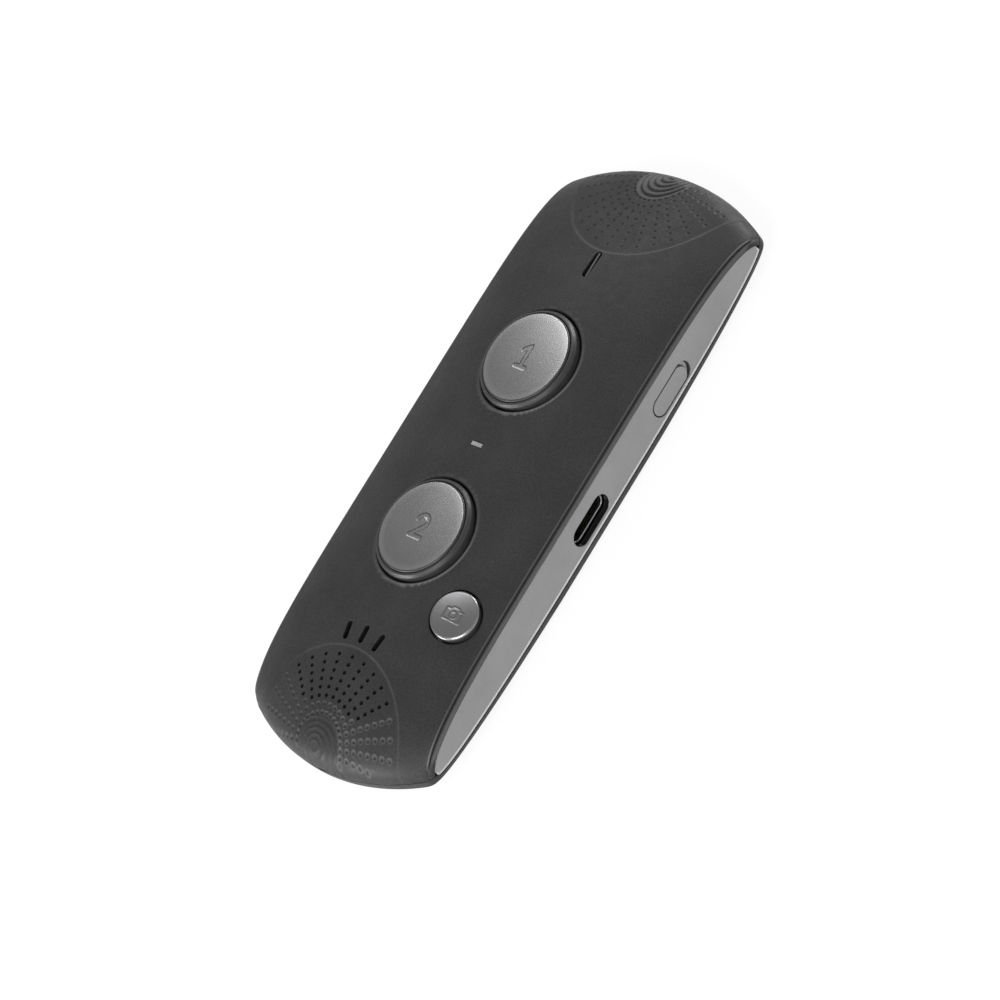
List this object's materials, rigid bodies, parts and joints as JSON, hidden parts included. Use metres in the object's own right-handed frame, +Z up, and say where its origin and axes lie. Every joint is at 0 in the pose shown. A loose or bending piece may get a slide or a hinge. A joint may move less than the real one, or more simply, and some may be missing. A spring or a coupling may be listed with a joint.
{
  "type": "handheld voice translator",
  "caption": "Slim handheld voice translator with round talk buttons, a camera button, a speaker grille, a USB-C port and a hinged card cover in its side.",
  "frame": {"origin": "middle of the flat area of the back, on the surface the device lies on", "axes": "+X across the device towards the port side, +Y along it towards the upper talk button, +Z up out of the front face"},
  "size_m": [0.0422, 0.1108, 0.0154],
  "materials": {
    "graphite_soft_touch": "soft-touch dark grey",
    "satin_silver": "satin silver",
    "button_silver": "satin silver",
    "gloss_black": "gloss black",
    "light_pipe": "frosted light grey",
    "board_green": "solder mask green",
    "bright_metal": "bright",
    "cell_wrap": "foil wrap",
    "black_rubber": "matt black",
    "white_ceramic": "matt white",
    "camera_glass": "dark tinted"
  },
  "bodies": {
    "device": {"front_cover": "graphite_soft_touch", "rear_cover": "graphite_soft_touch", "side_panel_right": "satin_silver", "side_panel_left": "satin_silver", "status_light_window": "light_pipe", "upper_slot_bar": "light_pipe", "upper_switch": "bright_metal", "lower_switch": "bright_metal", "camera_switch": "bright_metal", "status_led": "white_ceramic", "upper_microphone": "bright_metal", "lower_microphone": "bright_metal", "upper_microphone_boot": "black_rubber", "lower_microphone_boot": "black_rubber", "speaker": "gloss_black", "speaker_gasket": "black_rubber", "circuit_board": "board_green", "board_screw_1": "bright_metal", "board_screw_2": "bright_metal", "board_screw_3": "bright_metal", "board_screw_4": "bright_metal", "battery": "cell_wrap", "battery_pad": "black_rubber", "shield_can": "bright_metal", "usb_c_shell": "bright_metal", "usb_c_tongue": "gloss_black", "sim_cover_pin": "bright_metal", "sim_reader": "bright_metal", "camera_module": "gloss_black", "camera_bezel": "gloss_black", "camera_window": "camera_glass"},
    "upper_button": {"upper_button_face": "button_silver", "upper_button_collar": "gloss_black", "upper_plunger": "black_rubber"},
    "lower_button": {"lower_button_face": "button_silver", "lower_button_collar": "gloss_black", "lower_plunger": "black_rubber"},
    "camera_button": {"camera_button": "button_silver", "camera_plunger": "black_rubber"},
    "sim_cover": {"sim_cover": "satin_silver"}
  },
  "joints": [
    {"name": "upper_button_press", "type": "slide", "parent": "device", "child": "upper_button", "axis": [0, 0, -1], "range_m": [0, 0.0005], "stiffness_N_per_m": 1500, "springref_m": -0.0003},
    {"name": "lower_button_press", "type": "slide", "parent": "device", "child": "lower_button", "axis": [0, 0, -1], "range_m": [0, 0.0005], "stiffness_N_per_m": 1500, "springref_m": -0.0003},
    {"name": "camera_button_press", "type": "slide", "parent": "device", "child": "camera_button", "axis": [-0.2079, 0, -0.9781], "range_m": [0, 0.0004], "stiffness_N_per_m": 1500, "springref_m": -0.0003},
    {"name": "sim_cover_hinge", "type": "hinge", "parent": "device", "child": "sim_cover", "pos_m": [0.0206, 0.01875, 0.00505], "axis": [0, 0, -1], "range_deg": [0, 100]}
  ]
}
